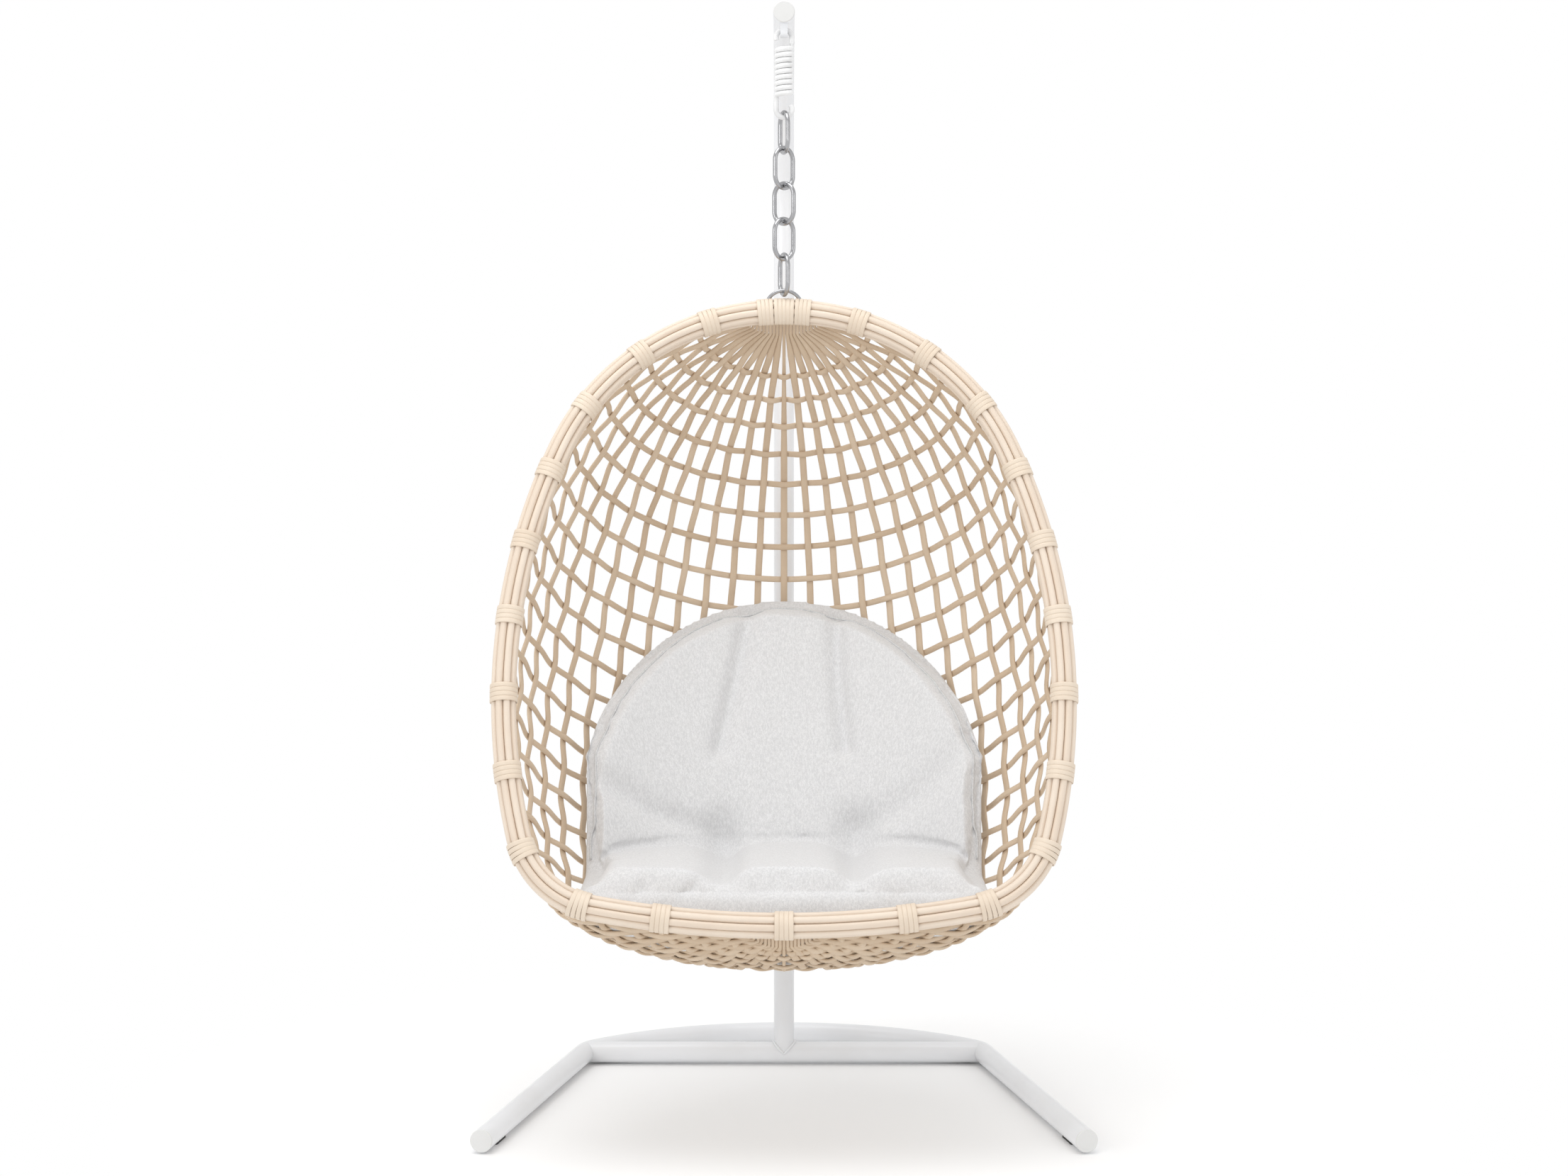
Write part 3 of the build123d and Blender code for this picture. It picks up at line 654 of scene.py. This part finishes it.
def upright_x(number, share):
    """How far from the middle plane an upright runs at this share of the way down."""
    half_width = weave_frame(share)[0]
    fanned = np.maximum(half_width * np.sin(number * UPRIGHT_ANGLE), number * UPRIGHT_CLOSE)
    return np.minimum(fanned, half_width)


level_step = (LEVEL_LAST - LEVEL_FIRST) / (LEVEL_COUNT - 1)
upright_lines = []
for number in range(-UPRIGHTS_EACH_SIDE, UPRIGHTS_EACH_SIDE + 1):
    side, steps = (-1.0 if number < 0 else 1.0), abs(number)
    fine = np.linspace(0, 1, 1200)
    inside_rim = fine[weave_frame(fine)[0] >= steps * UPRIGHT_CLOSE]
    share = np.linspace(inside_rim[0], inside_rim[-1], 420)
    half_width = weave_frame(share)[0]
    angle = side * np.arcsin(np.clip(upright_x(steps, share) / half_width, 0, 1))
    facing = weave_normal(share, angle)
    level = (share - LEVEL_FIRST) / level_step
    inner_zone = np.clip((level + 1) * 2, 0, 1) * np.clip((LEVEL_COUNT - level) * 2, 0, 1)
    wave = -np.cos(math.pi * (level + number)) * WEAVE_WAVE * inner_zone
    points = weave_point(share, angle) + facing * wave[:, None]
    end_u = side * steps * UPRIGHT_CLOSE
    for last in (False, True):
        rim_side = np.interp(abs(end_u), rim_half[:40, 0], rim_half[:40, 1])
        if last:
            rim_side = rim_height - np.interp(abs(end_u), [0, 0.2], [0, 0.2**2 / (2 * closing_r)])
        anchor = basket_point(np.array([end_u]), np.array([rim_side]), np.array([UPRIGHT_TUCK]))
        points = np.concatenate([points, anchor]) if last else np.concatenate([anchor, points])
        facing = np.concatenate([facing, facing[-1:]]) if last else np.concatenate([facing[:1], facing])
    gaps = np.concatenate([[0.0], np.cumsum(np.linalg.norm(np.diff(points, axis=0), axis=1))])
    even = np.linspace(0, gaps[-1], int(gaps[-1] / UPRIGHT_SPACING))
    points = np.stack([np.interp(even, gaps, points[:, axis]) for axis in range(3)], 1)
    facing = unit(np.stack([np.interp(even, gaps, facing[:, axis]) for axis in range(3)], 1))
    if steps:
        width = np.clip(np.abs(points[:, 0]) / steps, UPRIGHT_CLOSE, UPRIGHT_W)
    else:
        from_end = np.minimum(even, even[-1] - even)
        width = np.clip(UPRIGHT_CLOSE + (from_end - MIDDLE_NARROW) * MIDDLE_WIDENS, UPRIGHT_CLOSE, UPRIGHT_W)
    upright_lines.append((points, facing, width, WEAVE_CORD_T, False))
uprights = swept("weave_upright_cords", upright_lines, 12, WEAVE_SQUARE)

level_lines = []
for row in range(LEVEL_COUNT):
    share = np.full(LEVEL_POINTS, LEVEL_FIRST + row * level_step)
    half_width = weave_frame(share)[0][0]
    turned = np.linspace(-math.pi / 2, math.pi / 2, LEVEL_POINTS)
    facing = weave_normal(share, turned)
    crossing = np.array([upright_x(n, share[:1])[0] for n in range(UPRIGHTS_EACH_SIDE + 1)])
    from_middle = np.abs(half_width * np.sin(turned))
    number = np.interp(from_middle, crossing, np.arange(UPRIGHTS_EACH_SIDE + 1))
    near_rim = np.clip((half_width - from_middle) / WAVE_FADE, 0, 1)
    wave = np.cos(math.pi * (number + row)) * WEAVE_WAVE * near_rim
    points = weave_point(share, turned) + facing * wave[:, None]
    ends = [weave_point(share[:1], np.array([turned[at]]), -LEVEL_TUCK) for at in (0, -1)]
    points = np.concatenate([ends[0], points, ends[1]])
    facing = np.concatenate([facing[:1], facing, facing[-1:]])
    level_lines.append((points, facing, LEVEL_W, WEAVE_CORD_T, False))
levels = swept("weave_level_cords", level_lines, 12, WEAVE_SQUARE)
weave_resin = resin(
    "tan_weave", (0.60, 0.465, 0.33, 1), (0.46, 0.335, 0.22, 1), (0.69, 0.56, 0.42, 1), 0.44, 0.8
)
for piece in (uprights, levels):
    piece.data.materials.append(weave_resin)
    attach(piece, "basket")
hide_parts("woven_shell")

# Pad: one cover of grey melange fabric filled with fibre, seat and back in one. It is swelled
# inside its own space, then pulled in along the creases where a tie or the weave holds it.
PAD_VOXEL = 0.007
PAD_PRESSURE = 4.0
PAD_FRAMES = 20
PAD_FREE = 0.024
PAD_HELD = 0.003
PAD_ROUNDING = 12
PAD_OPEN_DIRECTION = (0.0, -0.87, 0.5)
# each crease: its points across and up, its width and its depth, in metres
PAD_CREASES = (
    (((-0.062, 0.860), (-0.085, 0.75), (-0.111, 0.635)), 0.017, 0.018),
    (((0.092, 0.860), (0.094, 0.75), (0.106, 0.635)), 0.016, 0.018),
    (((-0.327, 0.607), (-0.22, 0.53), (-0.097, 0.481)), 0.020, 0.014),
    (((0.322, 0.662), (0.23, 0.56), (0.120, 0.490)), 0.024, 0.010),
    (((-0.104, 0.500), (-0.104, 0.492)), 0.032, 0.018),
    (((0.119, 0.500), (0.119, 0.492)), 0.032, 0.018),
    (((-0.30, 0.452), (0.0, 0.452), (0.30, 0.452)), 0.016, 0.010),
)


def apply_modifiers(piece):
    """Keeps what the modifiers show as the piece's own mesh."""
    shown = piece.evaluated_get(bpy.context.evaluated_depsgraph_get())
    mesh = bpy.data.meshes.new_from_object(shown)
    piece.modifiers.clear()
    piece.data = mesh


def vertex_rows(mesh, field="co", source="vertices"):
    """One row for each vertex: its place, or another vector kept for it."""
    rows = np.zeros(len(mesh.vertices) * 3, np.float32)
    getattr(mesh, source).foreach_get(field, rows)
    return rows.reshape(-1, 3).astype(float)


pad = add_piece("seat_pad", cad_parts["seat_cushion"].data.copy())
pad.data.materials.clear()
remesh = pad.modifiers.new("remesh", "REMESH")
remesh.mode = "VOXEL"
remesh.voxel_size = PAD_VOXEL
rounding = pad.modifiers.new("rounding", "SMOOTH")
rounding.iterations = PAD_ROUNDING
apply_modifiers(pad)
start = vertex_rows(pad.data)
start_normals = vertex_rows(pad.data, "vector", "vertex_normals")
cloth = pad.modifiers.new("cloth", "CLOTH")
cloth.settings.use_pressure = True
cloth.settings.uniform_pressure_force = PAD_PRESSURE
cloth.settings.effector_weights.gravity = 0.0
cloth.point_cache.frame_start = 1
cloth.point_cache.frame_end = PAD_FRAMES
for number in range(1, PAD_FRAMES + 1):
    scene.frame_set(number)
apply_modifiers(pad)
scene.frame_set(1)
moved = vertex_rows(pad.data) - start
open_side = np.clip((start_normals @ np.array(PAD_OPEN_DIRECTION)) * 2.5 - 0.2, 0, 1)
limit = PAD_HELD + (PAD_FREE - PAD_HELD) * open_side
length = np.linalg.norm(moved, axis=1)
swelled = start + moved * np.minimum(1.0, limit / np.maximum(length, 1e-9))[:, None]


def away_from(line, points):
    """Distance across and up from a crease's line."""
    best = np.full(len(points), 9.0)
    for (ax, az), (bx, bz) in zip(line[:-1], line[1:]):
        leg = np.array([bx - ax, bz - az])
        share = np.clip(((points - [ax, az]) @ leg) / (leg @ leg), 0, 1)
        best = np.minimum(best, np.linalg.norm(points - [ax, az] - share[:, None] * leg, axis=1))
    return best


for line, width, depth in PAD_CREASES:
    pull = depth * np.exp(-((away_from(line, swelled[:, [0, 2]]) / width) ** 2)) * open_side
    swelled -= start_normals * pull[:, None]
pad.data.vertices.foreach_set("co", swelled.astype(np.float32).ravel())
pad.data.update()
finer = pad.modifiers.new("finer", "SUBSURF")
finer.levels = 1
finer.render_levels = 1
apply_modifiers(pad)
pad.data.polygons.foreach_set("use_smooth", [True] * len(pad.data.polygons))

FABRIC_LIGHT = (0.77, 0.77, 0.775, 1.0)
FABRIC_DARK = (0.59, 0.59, 0.595, 1.0)
fabric, fabric_shader, fabric_tree = new_material("grey_melange", FABRIC_LIGHT, 0.85)
fabric_shader.inputs["Sheen Weight"].default_value = 0.3
fabric_shader.inputs["Sheen Roughness"].default_value = 0.5
melange, melange_in, melange_out = effect_group("melange_cloth", ["Threads", "Slubs"], ["Light", "Dark"])
cloth_spot = melange.nodes.new("ShaderNodeTexCoord").outputs["Object"]
stretch = melange.nodes.new("ShaderNodeVectorMath")
stretch.operation = "MULTIPLY"
stretch.inputs[1].default_value = (1.0, 1.0, 0.35)
melange.links.new(cloth_spot, stretch.inputs[0])
threads = put_noise(melange, stretch.outputs[0], melange_in.outputs["Threads"], 2.0)
slubs = put_noise(melange, stretch.outputs[0], melange_in.outputs["Slubs"], 4.0)
fleck = put_math(melange, "MULTIPLY", threads, slubs)
dark_share = put_range(melange, fleck, 0.16, 0.36, 0.75, 0.0)
melange.links.new(
    put_mix(melange, dark_share, melange_in.outputs["Light"], melange_in.outputs["Dark"]),
    melange_out.inputs["Colour"],
)
melange.links.new(put_range(melange, threads, 0.3, 0.7, 0.78, 0.92), melange_out.inputs["Roughness"])
melange.links.new(threads, melange_out.inputs["Height"])
use_effect(
    melange, fabric, fabric_shader, fabric_tree, 0.0012, 0.5,
    {"Light": FABRIC_LIGHT, "Dark": FABRIC_DARK}, {"Threads": 900.0, "Slubs": 330.0},
)
pad.data.materials.append(fabric)
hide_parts("seat_cushion")
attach(pad, "basket")

# Piping: a thin pale welt sewn into the seam round the pad's arched back.
PIPING_D = 0.0042
PIPING_INSET = 0.985            # share of the arch's own size
PIPING_FOOT_Z = 0.47
ARCH_POINTS = 150
STEM_POINTS = 29
ARCH_HALF_W = 0.342
ARCH_H = 0.285
ARCH_SPRING_Z = 0.600
CREASE_Y = hang_y - 0.016
SEAT_Z = 0.452
BACKREST_LEAN = math.radians(19.5)
WRAP_HALF_W = 0.400
WRAP_DEPTH = 0.330
pad_tree = BVHTree.FromPolygons(
    [tuple(row) for row in vertex_rows(pad.data)], [tuple(face.vertices) for face in pad.data.polygons]
)
swing = np.linspace(math.pi, 0, ARCH_POINTS)
seam_half_w = ARCH_HALF_W * PIPING_INSET
arch = np.stack([seam_half_w * np.cos(swing), ARCH_SPRING_Z + ARCH_H * PIPING_INSET * np.sin(swing)], 1)
stem = np.linspace(PIPING_FOOT_Z, ARCH_SPRING_Z, STEM_POINTS, endpoint=False)
outline = np.concatenate([
    np.stack([np.full(STEM_POINTS, -seam_half_w), stem], 1),
    arch,
    np.stack([np.full(STEM_POINTS, seam_half_w), stem[::-1]], 1),
])
piping_points, piping_normals = [], []
for x, z in outline:
    wrap = WRAP_DEPTH * (1 - math.sqrt(1 - (x / WRAP_HALF_W) ** 2))
    y = CREASE_Y + (z - SEAT_Z) * math.tan(BACKREST_LEAN) - wrap
    spot_on_pad, normal, _, _ = pad_tree.find_nearest(Vector((x, y, z)))
    piping_points.append(spot_on_pad + normal * PIPING_D * 0.2)
    piping_normals.append(normal)
piping_points, piping_normals = np.array(piping_points, float), np.array(piping_normals, float)
for _ in range(4):
    piping_points[1:-1] = (piping_points[:-2] + 2 * piping_points[1:-1] + piping_points[2:]) / 4
piping = swept("pad_piping", [(piping_points, piping_normals, PIPING_D, PIPING_D, False)], 8)
welt, welt_shader, welt_tree = new_material("pale_welt", (0.66, 0.66, 0.66, 1), 0.8)
use_effect(
    melange, welt, welt_shader, welt_tree, 0.0006, 0.4,
    {"Light": (0.68, 0.68, 0.68, 1), "Dark": (0.5, 0.5, 0.5, 1)}, {"Threads": 900.0, "Slubs": 300.0},
)
piping.data.materials.append(welt)
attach(piping, "basket")
